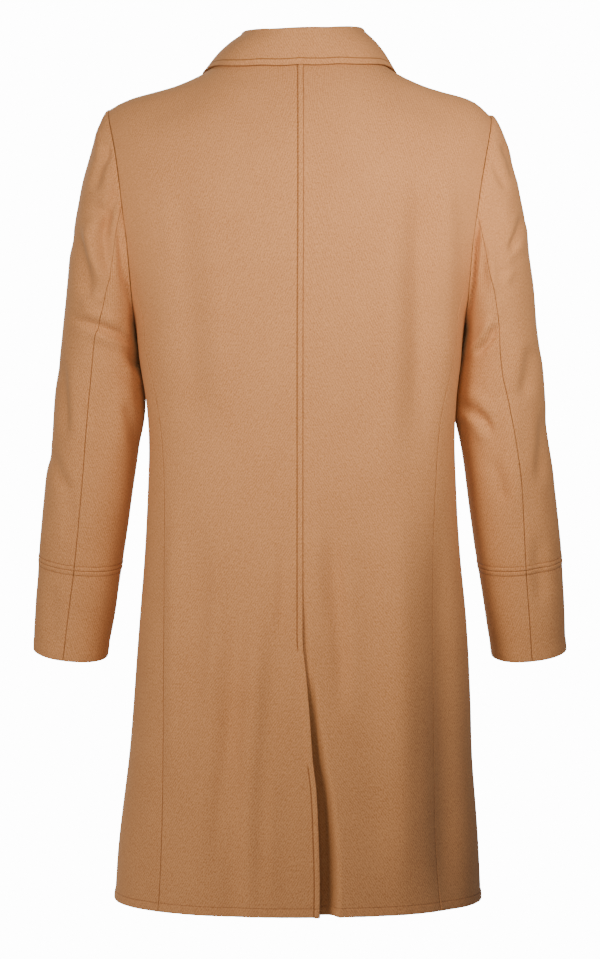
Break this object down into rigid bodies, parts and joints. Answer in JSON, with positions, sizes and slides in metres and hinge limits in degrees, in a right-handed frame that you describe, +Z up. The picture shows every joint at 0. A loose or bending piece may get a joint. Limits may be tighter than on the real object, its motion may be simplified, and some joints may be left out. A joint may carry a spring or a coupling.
{
  "type": "officer coat",
  "caption": "Knee-length wool overcoat, filled out as if worn, with a turned-down collar, cuffed sleeves and a back vent.",
  "frame": {"origin": "middle of the neck opening, where the wearer's neck and shoulders hold the coat up", "axes": "+Z up, -Y is the coat's front, +X is the wearer's left"},
  "size_m": [0.6506, 0.2716, 1.0405],
  "materials": {
    "wool": "matte camel wool twill",
    "button": "semi-gloss brown horn"
  },
  "bodies": {
    "root": {"back_left": "wool", "back_right": "wool", "front_left": "wool", "front_right": "wool", "collar": "wool", "sleeve_upper_left": "wool", "sleeve_under_left": "wool", "cuff_upper_left": "wool", "cuff_under_left": "wool", "sleeve_upper_right": "wool", "sleeve_under_right": "wool", "cuff_upper_right": "wool", "cuff_under_right": "wool", "button_1": "button", "button_2": "button", "button_3": "button", "button_4": "button"}
  },
  "joints": []
}
